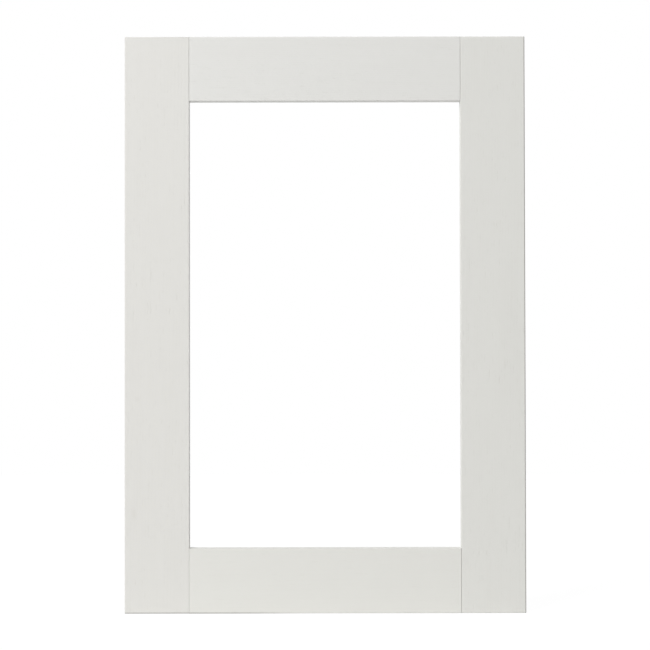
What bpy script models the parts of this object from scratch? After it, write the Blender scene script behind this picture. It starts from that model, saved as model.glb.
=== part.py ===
"""Kitchen cabinet door: an open painted wood frame, rebated at the back for a pane.

Two full-height stiles stand at the sides, and two rails are dowelled between them. The rebate round
the opening is routed through the glued frame, so it crosses the joints and its corners are round.
The back of the left stile is bored for two cup hinges. The front faces -Y, the width runs along X
and the bottom edge lies on Z = 0. Metres.
"""

import math

import bmesh
import bpy
from mathutils import Vector

# The whole door
DOOR_WIDTH = 0.497
DOOR_HEIGHT = 0.715
DOOR_THICKNESS = 0.020

# The four boards of the frame
STILE_WIDTH = 0.080
TOP_RAIL_HEIGHT = 0.080
BOTTOM_RAIL_HEIGHT = 0.080
JOINT_GAP = 0.0003  # the glue line between a rail's end and the stile

# The rebate that takes the pane
LIP_THICKNESS = 0.011  # what is left in front of the pane
REBATE_WIDTH = 0.010  # how far the pane reaches behind the boards
REBATE_CORNER_RADIUS = 0.008  # that of the router bit
REBATE_CORNER_SEGMENTS = 8

# Rounding of the boards' edges
OUTER_ARRIS = 0.0015  # round the outside of the door, in front
REAR_ARRIS = 0.0008  # the same, at the back
CORNER_ARRIS = 0.0006  # through the thickness, at the door's four corners
INNER_ARRIS = 0.0003  # along a stile's or rail's edge that faces the opening
ARRIS_SEGMENTS = 4
SHARP_ANGLE = math.radians(30)  # between two faces, past which their edge is shaded sharp

# Dowels, two in each corner joint
DOWEL_DIAMETER = 0.008
DOWEL_LENGTH = 0.040
DOWEL_SPACING = 0.032
DOWEL_CHAMFER = 0.0008
DOWEL_FLUTES = 16
FLUTE_DEPTH = 0.0004
DOWEL_SIDE_CLEARANCE = 0.0002
DOWEL_END_CLEARANCE = 0.0015

# Boring for the two cup hinges
HINGE_END_DISTANCE = 0.100  # from the door's end to the cup's middle
CUP_DIAMETER = 0.035
CUP_DEPTH = 0.013
CUP_MARGIN = 0.0045  # from the door's edge to the cup's rim
DRILL_POINT_DIAMETER = 0.003  # the mark that the cup drill's point leaves in the floor
DRILL_POINT_TIP_DIAMETER = 0.00075
DRILL_POINT_DEPTH = 0.0012
SCREW_SPACING = 0.045
SCREW_SETBACK = 0.0095  # from the cup's middle to the screws, away from the door's edge
PILOT_DIAMETER = 0.003
PILOT_DEPTH = 0.010

CUP_SEGMENTS = 64
DOWEL_HOLE_SEGMENTS = 32
PILOT_SEGMENTS = 16
CUTTER_OVERRUN = 0.003  # how far a cutter runs on past the face that it enters

# Worked out from the sizes above
FRONT_Y = -DOOR_THICKNESS / 2
REAR_Y = DOOR_THICKNESS / 2
RAIL_HALF_LENGTH = DOOR_WIDTH / 2 - STILE_WIDTH - JOINT_GAP
JOINT_X = DOOR_WIDTH / 2 - STILE_WIDTH - JOINT_GAP / 2  # the middle of the glue line

# What a rounded edge lies between, and its radius. Edges in a joint stay sharp.
ARRISES = {
    frozenset(("front", "outside")): OUTER_ARRIS,
    frozenset(("rear", "outside")): REAR_ARRIS,
    frozenset(("outside",)): CORNER_ARRIS,
    frozenset(("front", "opening")): INNER_ARRIS,
    frozenset(("rear", "opening")): INNER_ARRIS,
}


def clear_scene():
    for old in list(bpy.data.objects):
        bpy.data.objects.remove(old, do_unlink=True)


def make_collection(name):
    collection = bpy.data.collections.new(name)
    bpy.context.scene.collection.children.link(collection)
    return collection


def make_material(name, colour, roughness):
    material = bpy.data.materials.new(name)
    material.use_nodes = True
    shader = material.node_tree.nodes["Principled BSDF"]
    shader.inputs["Base Color"].default_value = (*colour, 1.0)
    shader.inputs["Roughness"].default_value = roughness
    shader.inputs["Metallic"].default_value = 0.0
    return material


def make_mesh(name, bm):
    """The mesh that bm holds. Round walls are shaded smooth, and the rest flat."""
    mesh = bpy.data.meshes.new(name)
    bm.to_mesh(mesh)
    bm.free()
    mesh.shade_smooth()
    mesh.set_sharp_from_angle(angle=SHARP_ANGLE)
    return mesh


def add_object(name, mesh, location, collection, door):
    obj = bpy.data.objects.new(name, mesh)
    obj.location = location
    obj.parent = door
    collection.objects.link(obj)
    return obj


def make_box(name, low, high, radius_of, segments, collection, door):
    """A box between two corners, with its origin in its middle. Each edge is rounded by radius_of(edge).

    The Bevel has the largest of those radii, and the weight of an edge is its own share of it.
    """
    low, high = Vector(low), Vector(high)
    bm = bmesh.new()
    weights = bm.edges.layers.float.new("bevel_weight_edge")
    bmesh.ops.create_cube(bm, size=1.0)
    bmesh.ops.scale(bm, vec=high - low, verts=bm.verts)
    bm.normal_update()
    radii = {edge: radius_of(edge) for edge in bm.edges}
    largest = max(radii.values())
    for edge, radius in radii.items():
        edge[weights] = radius / largest
    box = add_object(name, make_mesh(name, bm), (low + high) / 2, collection, door)
    bevel = box.modifiers.new("arris", "BEVEL")
    bevel.limit_method = "WEIGHT"
    bevel.width = largest
    bevel.segments = segments
    return box


def make_board(name, low, high, sides, paint, parts, door):
    """A stile or rail. sides says what lies beyond its -X, +X, -Z and +Z sides."""
    left, right, bottom, top = sides
    kinds = {
        (-1, 0, 0): left,
        (1, 0, 0): right,
        (0, 0, -1): bottom,
        (0, 0, 1): top,
        (0, -1, 0): "front",
        (0, 1, 0): "rear",
    }

    def arris_of(edge):
        directions = (tuple(round(part) for part in face.normal) for face in edge.link_faces)
        return ARRISES.get(frozenset(kinds[direction] for direction in directions), 0.0)

    board = make_box(name, low, high, arris_of, ARRIS_SEGMENTS, parts, door)
    board.data.materials.append(paint)
    return board


def make_drill(name, diameter, depth, segments, location, cutters, door, tip_diameter=None):
    """A cutter that enters the back of the door at location. With a tip it is a cone that starts there."""
    is_cone = tip_diameter is not None
    length = depth if is_cone else depth + CUTTER_OVERRUN
    bm = bmesh.new()
    bmesh.ops.create_cone(
        bm,
        cap_ends=True,
        segments=segments,
        radius1=(tip_diameter if is_cone else diameter) / 2,
        radius2=diameter / 2,
        depth=length,
    )
    bmesh.ops.translate(bm, vec=(0, 0, length / 2 - depth), verts=bm.verts)
    drill = add_object(name, make_mesh(name, bm), location, cutters, door)
    drill.rotation_euler.x = -math.pi / 2
    return drill


def cut(board, cutter):
    cutter.display_type = "WIRE"
    cutter.hide_render = True
    modifier = board.modifiers.new(cutter.name, "BOOLEAN")
    modifier.operation = "DIFFERENCE"
    modifier.solver = "EXACT"
    modifier.object = cutter


def make_boards(paint, parts, door):
    half_width = DOOR_WIDTH / 2
    stile_inner = half_width - STILE_WIDTH
    left_stile = make_board(
        "left_stile",
        (-half_width, FRONT_Y, 0.0),
        (-stile_inner, REAR_Y, DOOR_HEIGHT),
        ("outside", "opening", "outside", "outside"),
        paint,
        parts,
        door,
    )
    right_stile = make_board(
        "right_stile",
        (stile_inner, FRONT_Y, 0.0),
        (half_width, REAR_Y, DOOR_HEIGHT),
        ("opening", "outside", "outside", "outside"),
        paint,
        parts,
        door,
    )
    bottom_rail = make_board(
        "bottom_rail",
        (-RAIL_HALF_LENGTH, FRONT_Y, 0.0),
        (RAIL_HALF_LENGTH, REAR_Y, BOTTOM_RAIL_HEIGHT),
        ("joint", "joint", "outside", "opening"),
        paint,
        parts,
        door,
    )
    top_rail = make_board(
        "top_rail",
        (-RAIL_HALF_LENGTH, FRONT_Y, DOOR_HEIGHT - TOP_RAIL_HEIGHT),
        (RAIL_HALF_LENGTH, REAR_Y, DOOR_HEIGHT),
        ("joint", "joint", "opening", "outside"),
        paint,
        parts,
        door,
    )
    return left_stile, right_stile, bottom_rail, top_rail


def rout_rebate(boards, cutters, door):
    """One cutter takes the rebate out of all four boards, with the router bit's round corners."""
    reach_x = DOOR_WIDTH / 2 - STILE_WIDTH + REBATE_WIDTH

    def corner_radius(edge):
        along = edge.verts[1].co - edge.verts[0].co
        return REBATE_CORNER_RADIUS if abs(along.y) > 0 else 0.0

    router = make_box(
        "rebate_cutter",
        (-reach_x, FRONT_Y + LIP_THICKNESS, BOTTOM_RAIL_HEIGHT - REBATE_WIDTH),
        (reach_x, REAR_Y + CUTTER_OVERRUN, DOOR_HEIGHT - TOP_RAIL_HEIGHT + REBATE_WIDTH),
        corner_radius,
        REBATE_CORNER_SEGMENTS,
        cutters,
        door,
    )
    for board in boards:
        cut(board, router)


def make_dowel_mesh(beech):
    """A dowel along Z. Every other line of its side lies in a flute, and both ends are chamfered."""
    radius = DOWEL_DIAMETER / 2
    chamfer_z = DOWEL_LENGTH / 2 - DOWEL_CHAMFER
    bm = bmesh.new()
    bmesh.ops.create_cone(
        bm, cap_ends=True, segments=2 * DOWEL_FLUTES, radius1=radius, radius2=radius, depth=DOWEL_LENGTH
    )
    for z in (-chamfer_z, chamfer_z):
        everything = bm.verts[:] + bm.edges[:] + bm.faces[:]
        bmesh.ops.bisect_plane(bm, geom=everything, plane_co=(0, 0, z), plane_no=(0, 0, 1))
    for vertex in bm.verts:
        line = round(math.atan2(vertex.co.y, vertex.co.x) * DOWEL_FLUTES / math.pi)
        in_flute = line % 2 == 1
        at_end = abs(vertex.co.z) > chamfer_z + DOWEL_CHAMFER / 2
        own_radius = radius - in_flute * FLUTE_DEPTH - at_end * DOWEL_CHAMFER
        vertex.co.xy *= own_radius / radius
    mesh = make_mesh("dowel", bm)
    mesh.materials.append(beech)
    return mesh


def dowel_corner(corner, stile, rail, side, heights, mesh, parts, cutters, door):
    """Two dowels across the joint of a stile and a rail. One cutter bores each hole through both boards."""
    for place, z in zip(("lower", "upper"), heights):
        bm = bmesh.new()
        bmesh.ops.create_cone(
            bm,
            cap_ends=True,
            segments=DOWEL_HOLE_SEGMENTS,
            radius1=DOWEL_DIAMETER / 2 + DOWEL_SIDE_CLEARANCE,
            radius2=DOWEL_DIAMETER / 2 + DOWEL_SIDE_CLEARANCE,
            depth=DOWEL_LENGTH + 2 * DOWEL_END_CLEARANCE,
        )
        name = f"dowel_{corner}_{place}"
        middle = (side * JOINT_X, 0, z)
        hole = add_object(f"{name}_hole_cutter", make_mesh("dowel_hole", bm), middle, cutters, door)
        dowel = add_object(name, mesh, middle, parts, door)
        for obj in (hole, dowel):
            obj.rotation_euler.y = math.pi / 2
        cut(stile, hole)
        cut(rail, hole)


def dowel_corners(boards, beech, parts, cutters, door):
    left_stile, right_stile, bottom_rail, top_rail = boards
    mesh = make_dowel_mesh(beech)
    for end, rail, height, edge_z, inwards in (
        ("bottom", bottom_rail, BOTTOM_RAIL_HEIGHT, 0.0, 1),
        ("top", top_rail, TOP_RAIL_HEIGHT, DOOR_HEIGHT, -1),
    ):
        # The pair is centred on the part of the rail that keeps its full thickness
        middle_z = edge_z + inwards * (height - REBATE_WIDTH) / 2
        heights = (middle_z - DOWEL_SPACING / 2, middle_z + DOWEL_SPACING / 2)
        for name, stile, side in (("left", left_stile, -1), ("right", right_stile, 1)):
            dowel_corner(f"{end}_{name}", stile, rail, side, heights, mesh, parts, cutters, door)


def bore_for_hinges(stile, cutters, door):
    """Two blind cups in the back, each with its drill's point mark and two pilot holes for screws."""
    cup_x = -DOOR_WIDTH / 2 + CUP_MARGIN + CUP_DIAMETER / 2
    for end, cup_z in (("lower", HINGE_END_DISTANCE), ("upper", DOOR_HEIGHT - HINGE_END_DISTANCE)):
        cup = make_drill(
            f"{end}_cup_cutter", CUP_DIAMETER, CUP_DEPTH, CUP_SEGMENTS, (cup_x, REAR_Y, cup_z), cutters, door
        )
        cut(stile, cup)
        mark = make_drill(
            f"{end}_drill_point_cutter",
            DRILL_POINT_DIAMETER,
            DRILL_POINT_DEPTH,
            PILOT_SEGMENTS,
            (cup_x, REAR_Y - CUP_DEPTH, cup_z),
            cutters,
            door,
            tip_diameter=DRILL_POINT_TIP_DIAMETER,
        )
        cut(stile, mark)
        for side in (-1, 1):
            pilot = make_drill(
                f"{end}_pilot_cutter",
                PILOT_DIAMETER,
                PILOT_DEPTH,
                PILOT_SEGMENTS,
                (cup_x + SCREW_SETBACK, REAR_Y, cup_z + side * SCREW_SPACING / 2),
                cutters,
                door,
            )
            cut(stile, pilot)


def main():
    clear_scene()
    parts = make_collection("kitchen_cabinet_door")
    cutters = make_collection("cutters")
    door = bpy.data.objects.new("door", None)
    parts.objects.link(door)
    paint = make_material("off_white_paint", (0.73, 0.72, 0.69), 0.5)
    beech = make_material("beech", (0.58, 0.40, 0.24), 0.6)

    boards = make_boards(paint, parts, door)
    rout_rebate(boards, cutters, door)
    dowel_corners(boards, beech, parts, cutters, door)
    bore_for_hinges(boards[0], cutters, door)


main()
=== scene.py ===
# Kitchen cabinet door: painted open-pored boards, raw bores and fluted beech dowels, built round the
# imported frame. Metres. The door's front faces -Y, its width runs along X, and it stands on Z = 0.
import math

import bmesh
import bpy
from mathutils import Matrix, Vector


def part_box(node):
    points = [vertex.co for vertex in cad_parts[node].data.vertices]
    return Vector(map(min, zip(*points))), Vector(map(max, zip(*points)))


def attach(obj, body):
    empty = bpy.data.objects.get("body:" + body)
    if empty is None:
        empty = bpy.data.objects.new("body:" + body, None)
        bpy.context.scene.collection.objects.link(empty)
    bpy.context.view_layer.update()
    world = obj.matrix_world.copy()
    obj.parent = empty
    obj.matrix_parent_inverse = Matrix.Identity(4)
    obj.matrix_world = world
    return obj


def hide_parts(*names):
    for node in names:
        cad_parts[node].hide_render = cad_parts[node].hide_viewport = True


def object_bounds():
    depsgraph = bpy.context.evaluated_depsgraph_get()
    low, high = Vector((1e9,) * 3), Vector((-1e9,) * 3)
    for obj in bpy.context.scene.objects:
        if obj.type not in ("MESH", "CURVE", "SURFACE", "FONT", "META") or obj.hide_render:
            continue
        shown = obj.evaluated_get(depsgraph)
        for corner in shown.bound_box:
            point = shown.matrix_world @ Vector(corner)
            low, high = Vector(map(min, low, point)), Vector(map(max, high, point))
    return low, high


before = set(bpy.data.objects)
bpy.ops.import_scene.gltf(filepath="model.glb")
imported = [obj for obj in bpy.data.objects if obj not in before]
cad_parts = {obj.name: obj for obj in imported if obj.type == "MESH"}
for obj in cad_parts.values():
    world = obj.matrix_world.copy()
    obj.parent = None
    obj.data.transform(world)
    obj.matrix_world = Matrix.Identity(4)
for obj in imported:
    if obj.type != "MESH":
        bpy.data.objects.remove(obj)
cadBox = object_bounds()
print("frame loaded:", len(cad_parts), "nodes")


# Node trees


class Signal:
    # A socket of a node tree. Arithmetic on it adds Math nodes and gives the last one's output.
    def __init__(self, graph, socket):
        self.graph = graph
        self.socket = socket

    def math(self, operation, *others):
        return self.graph.math(operation, self, *others)

    def __add__(self, other):
        return self.math("ADD", other)

    __radd__ = __add__

    def __mul__(self, other):
        return self.math("MULTIPLY", other)

    __rmul__ = __mul__

    def __sub__(self, other):
        return self.math("SUBTRACT", other)

    def __rsub__(self, other):
        return self.graph.math("SUBTRACT", other, self)

    def __truediv__(self, other):
        return self.math("DIVIDE", other)

    def out(self, name):
        # another output of the same node
        return Signal(self.graph, self.socket.node.outputs[name])


class Graph:
    # A node tree in the making. add() is the one way in for a node: its settings first, then its inputs.
    def __init__(self, tree):
        self.tree = tree
        tree.nodes.clear()

    def add(self, kind, settings=None, inputs=None, output=0):
        node = self.tree.nodes.new(kind)
        for name, value in (settings or {}).items():
            setattr(node, name, value)
        for name, value in (inputs or {}).items():
            for each in value if isinstance(value, list) else [value]:
                if isinstance(each, Signal):
                    self.tree.links.new(each.socket, node.inputs[name])
                else:
                    node.inputs[name].default_value = each
        return Signal(self, node.outputs[output]) if len(node.outputs) else None

    def math(self, operation, *values):
        return self.add("ShaderNodeMath", {"operation": operation}, dict(enumerate(values)))

    def vector(self, operation, *values, output=0):
        return self.add("ShaderNodeVectorMath", {"operation": operation}, dict(enumerate(values)), output)

    def xyz(self, x, y, z):
        return self.add("ShaderNodeCombineXYZ", None, {"X": x, "Y": y, "Z": z})

    def ease(self, value, low, high):
        # 0 at low, 1 at high, smooth between them
        settings = {"interpolation_type": "SMOOTHSTEP"}
        return self.add("ShaderNodeMapRange", settings, {"Value": value, "From Min": low, "From Max": high})

    def tint(self, factor, colour, other):
        # inputs 6 and 7 and output 2 are the Mix node's colours
        return self.add("ShaderNodeMix", {"data_type": "RGBA"}, {0: factor, 6: colour, 7: other}, output=2)

    def noise(self, place, look, stretch):
        # stretch says how far the pattern is drawn out along each axis: 1 is not at all, less is more
        inputs = {
            "Vector": self.vector("MULTIPLY", place, stretch),
            "Scale": 1.0 / look["size"],
            "Detail": look["detail"],
            "Roughness": look["roughness"],
        }
        return self.add("ShaderNodeTexNoise", None, inputs)


def newMaterial(name):
    material = bpy.data.materials.new(name)
    material.use_nodes = True
    return material, Graph(material.node_tree)


def finishMaterial(graph, colour, roughness, specular, height, depth):
    bump = graph.add("ShaderNodeBump", None, {"Strength": 1.0, "Distance": depth, "Height": height})
    inputs = {"Base Color": colour, "Roughness": roughness, "Specular IOR Level": specular, "Normal": bump}
    shader = graph.add("ShaderNodeBsdfPrincipled", None, inputs)
    graph.add("ShaderNodeOutputMaterial", None, {"Surface": shader})


# Wood and paint

noiseMiddle = 0.5  # the level that a noise swings round

# A pair of levels is where a change starts and ends: for early and late wood in shares of a ring's width,
# and else in the noise's own value. A stretch below 1 draws a noise out along the log.
woodFigure = {
    "ringWidth": 0.0026,
    "taper": 0.006,  # how much the log narrows per metre
    "warp": 0.0040,  # how far slow waves push the rings about
    "wave": {"size": 0.0769, "stretch": 0.16, "detail": 2.0, "roughness": 0.55},
    "ringJitter": 0.0030,  # how unevenly the log grew from year to year
    "streaks": {"size": 0.0065, "stretch": 0.07, "detail": 2.0, "roughness": 0.5},
    "earlyLevels": (0.0, 0.10),  # the early wood sets in
    "lateLevels": (0.28, 0.62),  # and gives way to late wood
    "pores": {"size": 0.00036, "stretch": 0.045, "detail": 1.0, "roughness": 0.5},
    "poreLevels": (0.585, 0.655),
    "strayPores": 0.20,  # pores outside the early wood
    # pores that run together read as one dash from a step away
    "clusters": {"size": 0.0016, "stretch": 0.11, "detail": 0.0, "roughness": 0.5},
    "clusterLevels": (0.48, 0.66),
    "clusterGain": 2.2,
    "lonePores": 0.25,  # how plainly a pore shows outside the clusters
    "mottle": {"size": 0.0294, "stretch": 0.45, "detail": 3.0, "roughness": 0.6},
    "closedPores": 0.55,  # how far the paint fills the pores where it lies thickest
    "closedLevels": (0.42, 0.62),
    "fibres": {"size": 0.00016, "stretch": 0.015, "detail": 1.0, "roughness": 0.5},
}

# Where each board was cut from its log: the pith's place across and behind it, and a start along it.
# turn lays the pattern along the board, and show is how plainly the pores read through the paint.
boardCuts = {
    "left_stile": {"pith": (0.080, -0.130, 0.31), "turn": 0.0, "show": 1.0},
    "right_stile": {"pith": (-0.345, -0.110, 1.90), "turn": 0.0, "show": 1.0},
    "top_rail": {"pith": (-0.800, -0.120, 3.40), "turn": -math.pi / 2, "show": 1.0},
    "bottom_rail": {"pith": (0.110, -0.150, 5.20), "turn": -math.pi / 2, "show": 0.5},
}

# Each board's off-white differs a little, the rails a touch lighter than the stiles
paintColours = {
    "left_stile": (0.733, 0.725, 0.696),
    "right_stile": (0.735, 0.732, 0.700),
    "top_rail": (0.746, 0.743, 0.719),
    "bottom_rail": (0.750, 0.746, 0.711),
}

# Pin knots and thin places in the paint: x, z, half width, half height, and how much they darken it
paintMarks = {
    "left_stile": [
        (-0.2368, 0.1228, 0.0030, 0.0070, 0.35),
        (-0.2331, 0.2650, 0.0025, 0.0035, 0.23),
    ],
    "right_stile": [(0.2330, 0.3320, 0.0160, 0.0750, 0.09)],
}

paintLook = {
    "shadeAndTone": (0.88, 0.87, 0.85),  # share of the colour that is left where it darkens: painted shade in the pores and early wood, and random tone in the streaks, mottle and marks
    "poreShade": 0.22,
    "ringShade": 0.03,
    "streakShade": 0.22,
    "mottle": 0.24,
    "markLevels": (0.2, 1.6),  # shares of a mark's size, between which it fades
    "roughness": 0.46,
    "poreRoughness": 0.16,
    "mottleRoughness": 0.10,
    "specular": 0.50,
    "poreDepth": 0.000031,
    "ringDepth": 0.000011,
    "fibreDepth": 0.000003,
}

# Painted shade on the front's rounded outer edges: a little at the left, more at the right, and under the
# bottom's left half
paintedEdgeShade = {
    "left": 0.12,
    "right": 0.55,
    "bottom": 0.60,
    "bottomLevels": (-0.110, -0.020),  # places along X between which the bottom's fades out
    "wholeWidth": 0.00045,  # it fades inwards from here
    "width": 0.0018,  # to here
    "wholeDepth": 0.0015,  # and backwards from here
    "depth": 0.0030,  # to here
    # the dark colour that the painted edge shade mixes towards
    "paintedShadeColour": (0.12, 0.105, 0.08, 1.0),
}

rawAshLook = {
    "colour": (0.560, 0.405, 0.255, 1.0),
    "deep": (0.330, 0.205, 0.110, 1.0),
    "tone": 0.15,  # share of the deep colour everywhere
    "ringShade": 0.30,
    "poreShade": 0.35,
    "mottle": 0.5,
    "fibreShade": 0.25,
    "toolShade": 0.05,
    "roughness": 0.72,
    "poreRoughness": 0.1,
    "specular": 0.30,
    "toolPitch": 0.0011,
    "toolDepth": 0.00005,
    "toolRelief": 0.35,  # this and the next two are shares of that depth
    "fibreRelief": 0.4,
    "poreRelief": 0.6,
}

beechLook = {
    "colour": (0.600, 0.410, 0.262, 1.0),
    "deep": (0.420, 0.250, 0.140, 1.0),
    "tone": 0.12,  # share of the deep colour everywhere
    "flecks": {"size": 0.0007, "stretch": 0.30, "detail": 1.0, "roughness": 0.5},
    "fleckLevels": (0.60, 0.68),
    "fleckShade": 0.45,
    "grain": {"size": 0.000455, "stretch": 0.03, "detail": 2.0, "roughness": 0.5},
    "grainShade": 0.5,
    "patches": {"size": 0.0167, "stretch": 1.0, "detail": 1.0, "roughness": 0.5},
    "patchShade": 0.5,
    "roughness": 0.60,
    "fleckRoughness": -0.08,
    "specular": 0.35,
    "grainDepth": 0.00004,
    "fleckRelief": 0.5,  # share of that depth
}


def woodSignals(graph, cut, figure):
    # rings round the pith, pores that crowd in each ring's early wood, and fine fibres
    place = graph.add("ShaderNodeTexCoord").out("Object")
    inputs = {"Vector": place, "Location": cut["pith"], "Rotation": (0.0, cut["turn"], 0.0)}
    log = graph.add("ShaderNodeMapping", {"vector_type": "POINT"}, inputs)

    def alongLog(name):
        return graph.noise(log, figure[name], (1.0, 1.0, figure[name]["stretch"]))

    wave = alongLog("wave")
    streaks = alongLog("streaks")
    mottle = alongLog("mottle")
    parts = graph.add("ShaderNodeSeparateXYZ", None, {"Vector": log})
    behind = parts.out("Y")
    along = parts.out("Z")
    radius = (parts * parts + behind * behind).math("SQRT")
    grown = radius + along * figure["taper"] + wave * figure["warp"] + streaks * figure["ringJitter"]
    phase = (grown / figure["ringWidth"]).math("FRACT")
    early = graph.ease(phase, *figure["earlyLevels"]) * (1.0 - graph.ease(phase, *figure["lateLevels"]))
    crowd = early * (1.0 - figure["strayPores"]) + figure["strayPores"]
    closed = graph.ease(mottle, *figure["closedLevels"]) * figure["closedPores"]
    clusters = graph.ease(alongLog("clusters"), *figure["clusterLevels"])
    dashes = clusters * figure["clusterGain"] + figure["lonePores"]
    pores = graph.ease(alongLog("pores"), *figure["poreLevels"]) * crowd * (1.0 - closed) * dashes
    return early, pores, alongLog("fibres"), streaks, mottle, place


def paintedShadeOnEdges(graph, place, edgeShading):
    # how much painted shade darkens the front's rounded edges at both sides and the bottom
    parts = graph.add("ShaderNodeSeparateXYZ", None, {"Vector": place})
    low, high = cadBox
    whole = edgeShading["wholeWidth"]
    width = edgeShading["width"]
    left = (1.0 - graph.ease(parts, low.x + whole, low.x + width)) * edgeShading["left"]
    right = graph.ease(parts, high.x - width, high.x - whole) * edgeShading["right"]
    bottom = (1.0 - graph.ease(parts.out("Z"), low.z + whole, low.z + width)) * edgeShading["bottom"]
    bottom = bottom * (1.0 - graph.ease(parts, *edgeShading["bottomLevels"]))
    isFront = 1.0 - graph.ease(parts.out("Y"), low.y + edgeShading["wholeDepth"], low.y + edgeShading["depth"])
    return left.math("MAXIMUM", right).math("MAXIMUM", bottom) * isFront


def markShade(graph, place, mark, levels):
    # an oval that fades outwards
    x, z, halfWidth, halfHeight, strength = mark
    moved = graph.vector("SUBTRACT", place, (x, 0.0, z))
    scaled = graph.vector("MULTIPLY", moved, (1.0 / halfWidth, 0.0, 1.0 / halfHeight))
    distance = graph.vector("LENGTH", scaled, output="Value")
    return (1.0 - graph.ease(distance, *levels)) * strength


def makePaintedWood(node):
    material, graph = newMaterial(node + "_paint")
    look = paintLook
    cut = boardCuts[node]
    early, pores, fibres, streaks, mottle, place = woodSignals(graph, cut, woodFigure)
    # pores and early wood darken with painted shade in their hollows; streaks, mottle and marks are the
    # paint's random tone
    shade = pores * (look["poreShade"] * cut["show"]) + early * (look["ringShade"] * cut["show"])
    shade = shade + (streaks - noiseMiddle) * (look["streakShade"] * cut["show"])
    shade = shade + (mottle - noiseMiddle) * look["mottle"]
    for mark in paintMarks.get(node, ()):
        shade = shade + markShade(graph, place, mark, look["markLevels"])
    paint = paintColours[node]
    shadeAndTone = tuple(channel * share for channel, share in zip(paint, look["shadeAndTone"]))
    colour = graph.tint(shade.math("MAXIMUM", 0.0), (*paint, 1.0), (*shadeAndTone, 1.0))
    # painted shade darkens the front's rounded outer edges
    colour = graph.tint(paintedShadeOnEdges(graph, place, paintedEdgeShade), colour, paintedEdgeShade["paintedShadeColour"])
    roughness = pores * look["poreRoughness"] + (mottle - noiseMiddle) * look["mottleRoughness"]
    roughness = roughness + look["roughness"]
    fibreShare = look["fibreDepth"] / look["poreDepth"]
    ringShare = look["ringDepth"] / look["poreDepth"]
    relief = fibres * fibreShare - pores - early * ringShare
    finishMaterial(graph, colour, roughness, look["specular"], relief, look["poreDepth"] * cut["show"])
    return material


def makeRawWood(node, boreAxes, boreRadius):
    # the fresh wood inside the bores, with the rings that a cutter leaves round its axis
    material, graph = newMaterial(node + "_raw")
    look = rawAshLook
    early, pores, fibres, streaks, mottle, place = woodSignals(graph, boardCuts[node], woodFigure)
    shade = early * look["ringShade"] + pores * look["poreShade"]
    shade = shade + (mottle - noiseMiddle) * look["mottle"]
    shade = shade + (fibres - noiseMiddle) * look["fibreShade"] + look["tone"]
    relief = fibres * look["fibreRelief"] - pores * look["poreRelief"]
    for axis in boreAxes:
        moved = graph.vector("MULTIPLY", graph.vector("SUBTRACT", place, axis), (1.0, 0.0, 1.0))
        distance = graph.vector("LENGTH", moved, output="Value")
        wave = (distance * (2 * math.pi / look["toolPitch"])).math("SINE")
        rings = wave * distance.math("LESS_THAN", boreRadius)
        relief = relief + rings * look["toolRelief"]
        shade = shade + rings * look["toolShade"]
    colour = graph.tint(shade.math("MAXIMUM", 0.0), look["colour"], look["deep"])
    roughness = pores * look["poreRoughness"] + look["roughness"]
    finishMaterial(graph, colour, roughness, look["specular"], relief, look["toolDepth"])
    return material


def makeBeech(name):
    # a dowel lies along X: fine straight grain with short darker flecks
    material, graph = newMaterial(name)
    look = beechLook
    place = graph.add("ShaderNodeTexCoord").out("Object")
    flecks, grain, patches = (
        graph.noise(place, look[part], (look[part]["stretch"], 1.0, 1.0))
        for part in ("flecks", "grain", "patches")
    )
    flecks = graph.ease(flecks, *look["fleckLevels"])
    shade = flecks * look["fleckShade"] + (grain - noiseMiddle) * look["grainShade"]
    shade = shade + (patches - noiseMiddle) * look["patchShade"] + look["tone"]
    colour = graph.tint(shade.math("MAXIMUM", 0.0), look["colour"], look["deep"])
    roughness = flecks * look["fleckRoughness"] + look["roughness"]
    relief = grain - flecks * look["fleckRelief"]
    finishMaterial(graph, colour, roughness, look["specular"], relief, look["grainDepth"])
    return material


# Geometry node trees


def newGeometryTree(name, sizes):
    # a tree that takes a mesh and one named number for each of its sizes
    tree = bpy.data.node_groups.new(name, "GeometryNodeTree")
    tree.interface.new_socket("Geometry", in_out="INPUT", socket_type="NodeSocketGeometry")
    for label, value in sizes.items():
        kind = "NodeSocketInt" if isinstance(value, int) else "NodeSocketFloat"
        tree.interface.new_socket(label, in_out="INPUT", socket_type=kind)
    tree.interface.new_socket("Geometry", in_out="OUTPUT", socket_type="NodeSocketGeometry")
    graph = Graph(tree)
    return graph, graph.add("NodeGroupInput")


def addTree(piece, tree, sizes):
    modifier = piece.modifiers.new(tree.name, "NODES")
    modifier.node_group = tree
    for item in tree.interface.items_tree:
        if item.in_out == "INPUT" and item.name in sizes:
            modifier[item.identifier] = sizes[item.name]


def atTwoPoints(graph, low, high, shape):
    inputs = {"Count": 2, "Start Location": low, "Offset": high}
    line = graph.add("GeometryNodeMeshLine", {"mode": "END_POINTS"}, inputs)
    return graph.add("GeometryNodeInstanceOnPoints", None, {"Points": line, "Instance": shape})


def atDowels(graph, given, shape):
    # the shape at all eight dowels: two in a rail's end, at both ends, of both rails
    half = given.out("Dowel Spacing") * 0.5
    pair = atTwoPoints(graph, graph.xyz(0.0, 0.0, half * -1.0), graph.xyz(0.0, 0.0, half), shape)
    joint = given.out("Joint X")
    ends = atTwoPoints(graph, graph.xyz(joint * -1.0, 0.0, 0.0), graph.xyz(joint, 0.0, 0.0), pair)
    bottom = graph.xyz(0.0, 0.0, given.out("Bottom Dowels Z"))
    top = graph.xyz(0.0, 0.0, given.out("Top Dowels Z"))
    return atTwoPoints(graph, bottom, top, ends)


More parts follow.
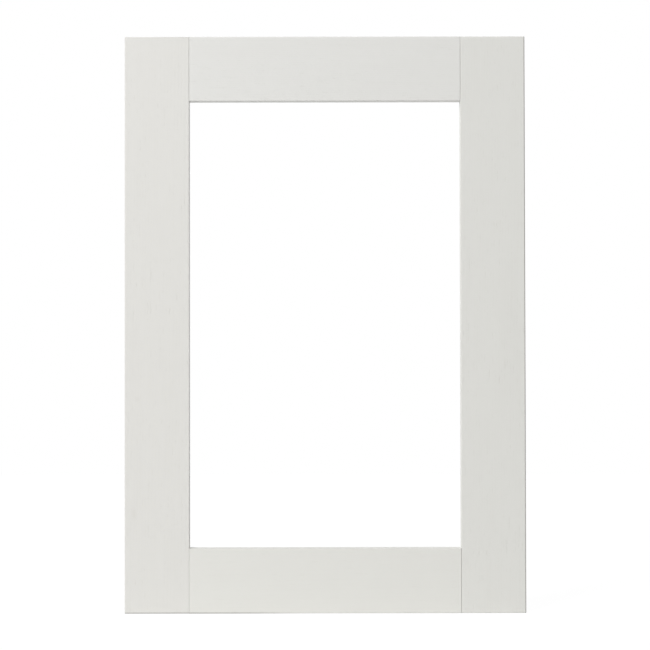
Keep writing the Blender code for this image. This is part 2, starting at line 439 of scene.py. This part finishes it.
def drill(graph, diameter, depth, overrun, steps):
    # a cylinder along Y that ends at depth in front of the point it stands on, and overruns behind it
    inputs = {"Vertices": steps, "Radius": diameter * 0.5, "Depth": depth + overrun}
    rod = graph.add("GeometryNodeMeshCylinder", None, inputs)
    middle = graph.xyz(0.0, (overrun - depth) * 0.5, 0.0)
    inputs = {"Geometry": rod, "Translation": middle, "Rotation": (math.pi / 2, 0.0, 0.0)}
    return graph.add("GeometryNodeTransform", None, inputs)


def settle(piece, name):
    # the evaluated shape as a plain mesh, in an object of its own at the origin
    bpy.context.view_layer.update()
    depsgraph = bpy.context.evaluated_depsgraph_get()
    data = bpy.data.meshes.new_from_object(piece.evaluated_get(depsgraph))
    data.name = name
    bpy.data.objects.remove(piece, do_unlink=True)
    finished = bpy.data.objects.new(name, data)
    bpy.context.scene.collection.objects.link(finished)
    return finished


# Boards

boardShape = {
    "outerArris": 0.0015,
    "rearArris": 0.0008,
    "cornerArris": 0.0006,
    "innerArris": {"left_stile": 0.0003, "right_stile": 0.0005, "top_rail": 0.0003, "bottom_rail": 0.0003},
    "jointArris": 0.0003,
    # the hairline that paint leaves at a rail's left and right end
    "jointGaps": {"bottom_rail": (0.00002, 0.00023), "top_rail": (0.00012, 0.00020)},
    "arrisSteps": 8,
    "sharpAngle": 0.5,  # radians between faces, past which an edge stays crisp
}

boring = {
    "lip": 0.011,  # wood in front of the rebate
    "rebateWidth": 0.010,
    "rebateCorner": 0.008,
    "rebateCornerSteps": 10,
    "cupDiameter": 0.035,
    "cupDepth": 0.013,
    "cupMargin": 0.0045,
    "cupEnd": 0.100,
    "cupSteps": 96,
    "pointDiameter": 0.003,
    "pointDepth": 0.0012,
    "pilotDiameter": 0.003,
    "pilotDepth": 0.010,
    "pilotSteps": 24,
    "screwSpacing": 0.045,
    "screwSetback": 0.0095,
    "dowelClearance": 0.0002,
    "dowelEndRoom": 0.0015,
    "dowelHoleSteps": 48,
    "overrun": 0.003,
}

# What lies beyond each board's -X, +X, -Z and +Z side
boardSides = {
    "left_stile": ("outside", "opening", "outside", "outside"),
    "right_stile": ("opening", "outside", "outside", "outside"),
    "bottom_rail": ("joint", "joint", "outside", "opening"),
    "top_rail": ("joint", "joint", "opening", "outside"),
}

dowelShape = {
    "diameter": 0.008,
    "length": 0.040,
    "flutes": 16,
    "fluteDepth": 0.0004,
    "stepsPerFlute": 6,
    "chamfer": 0.0008,
}

leftLow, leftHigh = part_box("left_stile")
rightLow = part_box("right_stile")[0]
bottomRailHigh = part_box("bottom_rail")[1]
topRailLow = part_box("top_rail")[0]


def middleOf(*nodes):
    corners = [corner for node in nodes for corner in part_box(node)]
    return sum(corners, Vector()) / len(corners)


paneLowZ = bottomRailHigh.z - boring["rebateWidth"]
paneHighZ = topRailLow.z + boring["rebateWidth"]

dowelPlaces = {
    "Dowel Spacing": middleOf("dowel_bottom_right_upper").z - middleOf("dowel_bottom_right_lower").z,
    "Joint X": middleOf("dowel_bottom_right_lower").x,
    "Bottom Dowels Z": middleOf("dowel_bottom_right_lower", "dowel_bottom_right_upper").z,
    "Top Dowels Z": middleOf("dowel_top_right_lower", "dowel_top_right_upper").z,
}

boreSizes = {
    "Rear Y": leftHigh.y,
    "Lip Back Y": leftLow.y + boring["lip"],
    "Overrun": boring["overrun"],
    "Rebate Width": 2 * (rightLow.x + boring["rebateWidth"]),
    "Rebate Height": paneHighZ - paneLowZ,
    "Rebate Middle Z": (paneHighZ + paneLowZ) / 2,
    "Rebate Corner": boring["rebateCorner"],
    "Rebate Corner Steps": boring["rebateCornerSteps"],
    "Cup X": leftLow.x + boring["cupMargin"] + boring["cupDiameter"] / 2,
    "Lower Cup Z": leftLow.z + boring["cupEnd"],
    "Upper Cup Z": leftHigh.z - boring["cupEnd"],
    "Cup Diameter": boring["cupDiameter"],
    "Cup Depth": boring["cupDepth"],
    "Cup Steps": boring["cupSteps"],
    "Point Diameter": boring["pointDiameter"],
    "Point Depth": boring["pointDepth"],
    "Pilot Diameter": boring["pilotDiameter"],
    "Pilot Depth": boring["pilotDepth"],
    "Pilot Steps": boring["pilotSteps"],
    "Screw Spacing": boring["screwSpacing"],
    "Screw Setback": boring["screwSetback"],
    "Dowel Hole Diameter": dowelShape["diameter"] + 2 * boring["dowelClearance"],
    "Dowel Hole Length": dowelShape["length"] + 2 * boring["dowelEndRoom"],
    "Dowel Hole Steps": boring["dowelHoleSteps"],
    "Sharp Angle": boardShape["sharpAngle"],
    **dowelPlaces,
}


def arrisOf(edge, kinds, node, shape):
    # how far an edge is rounded, by what lies beyond the two faces that meet on it
    beside = {kinds[tuple(round(part) for part in face.normal)] for face in edge.link_faces}
    if beside == {"front", "outside"}:
        return shape["outerArris"]
    if beside == {"rear", "outside"}:
        return shape["rearArris"]
    if beside == {"outside"}:
        return shape["cornerArris"]
    if beside in ({"front", "opening"}, {"rear", "opening"}):
        return shape["innerArris"][node]
    if beside == {"front", "joint"}:
        return shape["jointArris"]
    return 0.0


def makeBlank(node, shape):
    # the sawn board in its place in the door, with each edge's share of the widest rounding as its weight
    low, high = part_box(node)
    sides = boardSides[node]
    if "joint" in sides:
        leftGap, rightGap = shape["jointGaps"][node]
        low.x = leftHigh.x + leftGap
        high.x = rightLow.x - rightGap
    facing = ((-1, 0, 0), (1, 0, 0), (0, 0, -1), (0, 0, 1), (0, -1, 0), (0, 1, 0))
    kinds = dict(zip(facing, (*sides, "front", "rear")))
    mesh = bmesh.new()
    weights = mesh.edges.layers.float.new("bevel_weight_edge")
    bmesh.ops.create_cube(mesh, size=1.0)
    bmesh.ops.scale(mesh, vec=high - low, verts=mesh.verts)
    bmesh.ops.translate(mesh, vec=(high + low) / 2, verts=mesh.verts)
    mesh.normal_update()
    for edge in mesh.edges:
        edge[weights] = arrisOf(edge, kinds, node, shape) / shape["outerArris"]
    data = bpy.data.meshes.new(node + "_blank")
    mesh.to_mesh(data)
    mesh.free()
    blank = bpy.data.objects.new(node + "_blank", data)
    bpy.context.scene.collection.objects.link(blank)
    arris = blank.modifiers.new("arris", "BEVEL")
    arris.limit_method = "WEIGHT"
    arris.width = shape["outerArris"]
    arris.segments = shape["arrisSteps"]
    return blank


def routerCutter(graph, given):
    # the pane's rebate: a prism with rounded corners, swept from the lip out past the rear
    size = {"Width": given.out("Rebate Width"), "Height": given.out("Rebate Height")}
    outline = graph.add("GeometryNodeCurvePrimitiveQuadrilateral", None, size)
    corner = given.out("Rebate Corner")
    inputs = {"Curve": outline, "Radius": corner, "Count": given.out("Rebate Corner Steps")}
    rounded = graph.add("GeometryNodeFilletCurve", {"mode": "POLY"}, inputs)
    start = graph.xyz(0.0, 0.0, given.out("Lip Back Y"))
    end = graph.xyz(0.0, 0.0, given.out("Rear Y") + given.out("Overrun"))
    path = graph.add("GeometryNodeCurvePrimitiveLine", None, {"Start": start, "End": end})
    inputs = {"Curve": path, "Profile Curve": rounded, "Fill Caps": True}
    prism = graph.add("GeometryNodeCurveToMesh", None, inputs)
    middle = graph.xyz(0.0, 0.0, given.out("Rebate Middle Z"))
    inputs = {"Geometry": prism, "Translation": middle, "Rotation": (-math.pi / 2, 0.0, 0.0)}
    return graph.add("GeometryNodeTransform", None, inputs)


def hingeCutters(graph, given):
    # for each hinge: the cup, the mark of the bit's point in its floor, and two pilot holes
    overrun = given.out("Overrun")
    cupDepth = given.out("Cup Depth")
    cup = drill(graph, given.out("Cup Diameter"), cupDepth, overrun, given.out("Cup Steps"))
    steps = given.out("Pilot Steps")
    deep = cupDepth + given.out("Point Depth")
    point = drill(graph, given.out("Point Diameter"), deep, overrun, steps)
    pilot = drill(graph, given.out("Pilot Diameter"), given.out("Pilot Depth"), overrun, steps)
    setback = given.out("Screw Setback")
    half = given.out("Screw Spacing") * 0.5
    pilots = atTwoPoints(graph, graph.xyz(setback, 0.0, half * -1.0), graph.xyz(setback, 0.0, half), pilot)
    hinge = graph.add("GeometryNodeJoinGeometry", None, {"Geometry": [cup, point, pilots]})
    rear = given.out("Rear Y")
    low = graph.xyz(given.out("Cup X"), rear, given.out("Lower Cup Z"))
    high = graph.xyz(given.out("Cup X"), rear, given.out("Upper Cup Z"))
    return atTwoPoints(graph, low, high, hinge)


def dowelHoleCutters(graph, given):
    inputs = {
        "Vertices": given.out("Dowel Hole Steps"),
        "Radius": given.out("Dowel Hole Diameter") * 0.5,
        "Depth": given.out("Dowel Hole Length"),
    }
    hole = graph.add("GeometryNodeMeshCylinder", None, inputs)
    inputs = {"Geometry": hole, "Rotation": (0.0, math.pi / 2, 0.0)}
    lying = graph.add("GeometryNodeTransform", None, inputs)
    return atDowels(graph, given, lying)


def makeBoringTree(node, sizes, paint, raw):
    # takes the pane's rebate, the dowel holes and the hinge borings out of a board
    graph, given = newGeometryTree(node + "_rebate_and_bores", sizes)
    cutters = [hingeCutters(graph, given), dowelHoleCutters(graph, given)]
    bores = graph.add("GeometryNodeJoinGeometry", None, {"Geometry": cutters})
    bores = graph.add("GeometryNodeRealizeInstances", None, {"Geometry": bores})
    bores = graph.add("GeometryNodeSetMaterial", None, {"Geometry": bores, "Material": raw})
    exact = {"operation": "DIFFERENCE", "solver": "EXACT"}
    inputs = {"Mesh 1": given, "Mesh 2": routerCutter(graph, given)}
    routed = graph.add("GeometryNodeMeshBoolean", exact, inputs)
    inputs = {"Mesh 1": routed, "Mesh 2": bores, "Self Intersection": True}
    bored = graph.add("GeometryNodeMeshBoolean", exact, inputs)

    # curved walls shade smoothly, and the rims between them stay crisp
    smooth = graph.add("GeometryNodeSetShadeSmooth", {"domain": "FACE"}, {"Geometry": bored})
    bend = graph.add("GeometryNodeInputMeshEdgeAngle")
    crisp = bend.math("GREATER_THAN", given.out("Sharp Angle"))
    inputs = {"Geometry": smooth, "Selection": crisp, "Shade Smooth": False}
    creased = graph.add("GeometryNodeSetShadeSmooth", {"domain": "EDGE"}, inputs)

    whole = graph.add("GeometryNodeRealizeInstances", None, {"Geometry": creased})
    isRaw = graph.add("GeometryNodeMaterialSelection", None, {"Material": raw})
    isPainted = graph.add("FunctionNodeBooleanMath", {"operation": "NOT"}, {0: isRaw})
    inputs = {"Geometry": whole, "Selection": isPainted, "Material": paint}
    done = graph.add("GeometryNodeSetMaterial", None, inputs)
    graph.add("NodeGroupOutput", None, {"Geometry": done})
    return graph.tree


def makeBoard(node, shape, sizes):
    cupAxes = []
    if node == "left_stile":
        cupAxes = [(sizes["Cup X"], 0.0, sizes[end]) for end in ("Lower Cup Z", "Upper Cup Z")]
    paint = makePaintedWood(node)
    raw = makeRawWood(node, cupAxes, sizes["Cup Diameter"] / 2)
    blank = makeBlank(node, shape)
    addTree(blank, makeBoringTree(node, sizes, paint, raw), sizes)
    level = blank.modifiers.new("level", "WEIGHTED_NORMAL")  # keeps the broad faces flat beside their arrises
    level.keep_sharp = True
    board = settle(blank, "painted_" + node)
    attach(board, "root")
    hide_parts(node)
    return board


boards = {node: makeBoard(node, boardShape, boreSizes) for node in boardSides}
print("boards made:", ", ".join(f"{node} {len(board.data.polygons)} faces" for node, board in boards.items()))


# Dowels


def makeDowelTree(sizes, wood):
    # one fluted, chamfered dowel along X, stood at each of the eight places
    graph, given = newGeometryTree("fluted_dowels", sizes)
    radius = given.out("Radius")
    flutes = given.out("Flutes")
    steps = flutes * given.out("Steps Per Flute")
    inputs = {"Resolution": steps, "Radius": radius}
    circle = graph.add("GeometryNodeCurvePrimitiveCircle", None, inputs)
    turn = graph.add("GeometryNodeSplineParameter")
    wave = (turn * flutes * (2 * math.pi)).math("COSINE")
    groove = wave.math("MAXIMUM", 0.0) * (given.out("Flute Depth") / radius)
    inputs = {"Vector": graph.add("GeometryNodeInputPosition"), "Scale": groove * -1.0}
    inward = graph.add("ShaderNodeVectorMath", {"operation": "SCALE"}, inputs)
    section = graph.add("GeometryNodeSetPosition", None, {"Geometry": circle, "Offset": inward})

    # four rings along the dowel, counted from its middle: both ends, and a chamfer in from each
    rings = 4
    index = graph.add("GeometryNodeInputIndex") - (rings - 1) / 2
    isInner = index.math("ABSOLUTE").math("LESS_THAN", 1.0)
    reach = given.out("Length") * 0.5 - isInner * given.out("Chamfer")
    inputs = {"Count": rings, "Offset": (1.0, 0.0, 0.0)}
    line = graph.add("GeometryNodeMeshLine", {"mode": "END_POINTS"}, inputs)
    stations = graph.xyz(index.math("SIGN") * reach, 0.0, 0.0)
    axis = graph.add("GeometryNodeSetPosition", None, {"Geometry": line, "Position": stations})
    curve = graph.add("GeometryNodeMeshToCurve", None, {"Mesh": axis})
    scale = 1.0 - (1.0 - isInner) * (given.out("Chamfer") / radius)
    inputs = {"Curve": curve, "Profile Curve": section, "Fill Caps": True, "Scale": scale}
    dowel = graph.add("GeometryNodeCurveToMesh", None, inputs)
    whole = graph.add("GeometryNodeRealizeInstances", None, {"Geometry": atDowels(graph, given, dowel)})
    done = graph.add("GeometryNodeSetMaterial", None, {"Geometry": whole, "Material": wood})
    graph.add("NodeGroupOutput", None, {"Geometry": done})
    return graph.tree


dowelSizes = {
    "Radius": dowelShape["diameter"] / 2,
    "Length": dowelShape["length"],
    "Flutes": dowelShape["flutes"],
    "Flute Depth": dowelShape["fluteDepth"],
    "Steps Per Flute": dowelShape["stepsPerFlute"],
    "Chamfer": dowelShape["chamfer"],
    **dowelPlaces,
}
dowelSeed = bpy.data.objects.new("dowel_seed", bpy.data.meshes.new("dowel_seed"))
bpy.context.scene.collection.objects.link(dowelSeed)
addTree(dowelSeed, makeDowelTree(dowelSizes, makeBeech("beech_dowel")), dowelSizes)
dowels = settle(dowelSeed, "fluted_dowels")
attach(dowels, "root")
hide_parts(*(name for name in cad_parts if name.startswith("dowel_")))
print("dowels made:", len(dowels.data.polygons), "faces")


# Floor, light and camera

studio = {
    "white": (1.0, 1.0, 1.0, 1.0),
    "ambient": 0.35,  # what the world lights the door with
    "backdrop": 1.0,  # what the camera sees of the world
    "floorColour": (0.80, 0.80, 0.79, 1.0),
    "floorWhite": 1.05,  # what the camera sees of the floor where nothing shades it
    "floorShadow": 0.08,  # share of the real floor in what the camera sees, which keeps the door's shadow
    "floorHalf": 1.5,
    "floorSquares": 8,
}

# The rear one stands low, so that the floor sends little of it forward, and is left out of reflections,
# so that it doesn't glare off the opening's walls
softboxes = {
    "key": {"place": (-3.475, -3.475, 3.80), "size": 2.2, "power": 300.0, "inGloss": True},
    "rear": {"place": (0.0, 4.7, 0.9), "size": 2.2, "power": 85.0, "inGloss": False},
}

cameraPlace = {
    "place": (0.0, -1.51, 0.34059),
    "pitch": 0.01065,  # radians, as roll
    "roll": -0.00168,
    "lens": 67.04,  # millimetres, as sensor
    "sensor": 36.0,
}


def seenDirectly(graph):
    # 1 for what the camera sees itself, in gloss or through glass
    path = graph.add("ShaderNodeLightPath")
    return path.math("MAXIMUM", path.out("Is Glossy Ray")).math("MAXIMUM", path.out("Is Transmission Ray"))


def makeWorld(look):
    world = bpy.data.worlds.new("studio")
    world.use_nodes = True
    bpy.context.scene.world = world
    graph = Graph(world.node_tree)
    inputs = {"Color": look["white"], "Strength": look["ambient"]}
    soft = graph.add("ShaderNodeBackground", None, inputs)
    inputs = {"Color": look["white"], "Strength": look["backdrop"]}
    seen = graph.add("ShaderNodeBackground", None, inputs)
    both = graph.add("ShaderNodeMixShader", None, {0: seenDirectly(graph), 1: soft, 2: seen})
    graph.add("ShaderNodeOutputWorld", None, {"Surface": both})


def makeFloor(look):
    mesh = bmesh.new()
    squares = look["floorSquares"]
    bmesh.ops.create_grid(mesh, x_segments=squares, y_segments=squares, size=look["floorHalf"])
    data = bpy.data.meshes.new("floor")
    mesh.to_mesh(data)
    mesh.free()
    floor = bpy.data.objects.new("floor", data)
    bpy.context.scene.collection.objects.link(floor)
    material, graph = newMaterial("pale_floor")
    real = graph.add("ShaderNodeBsdfDiffuse", None, {"Color": look["floorColour"]})
    inputs = {"Color": look["white"], "Strength": look["floorWhite"]}
    seen = graph.add("ShaderNodeEmission", None, inputs)
    share = seenDirectly(graph) * (1.0 - look["floorShadow"])
    both = graph.add("ShaderNodeMixShader", None, {0: share, 1: real, 2: seen})
    graph.add("ShaderNodeOutputMaterial", None, {"Surface": both})
    data.materials.append(material)


def makeSoftbox(name, look, target):
    light = bpy.data.lights.new(name, "AREA")
    light.shape = "DISK"
    light.size = look["size"]
    light.energy = look["power"]
    lamp = bpy.data.objects.new(name, light)
    lamp.location = look["place"]
    lamp.rotation_euler = (target - lamp.location).to_track_quat("-Z", "Y").to_euler()
    lamp.visible_camera = False
    lamp.visible_glossy = look["inGloss"]
    bpy.context.scene.collection.objects.link(lamp)


def makeCamera(look):
    data = bpy.data.cameras.new("camera")
    data.lens = look["lens"]
    data.sensor_width = look["sensor"]
    camera = bpy.data.objects.new("camera", data)
    tilt = Matrix.Rotation(math.pi / 2 + look["pitch"], 3, "X")
    camera.rotation_euler = (tilt @ Matrix.Rotation(look["roll"], 3, "Z")).to_euler()
    camera.location = look["place"]
    bpy.context.scene.collection.objects.link(camera)
    bpy.context.scene.camera = camera


doorMiddle = (cadBox[0] + cadBox[1]) / 2
makeWorld(studio)
makeFloor(studio)
for lampName, softbox in softboxes.items():
    makeSoftbox(lampName, softbox, doorMiddle)
makeCamera(cameraPlace)
bpy.context.scene.view_settings.view_transform = "Standard"
print("floor, light and camera set")
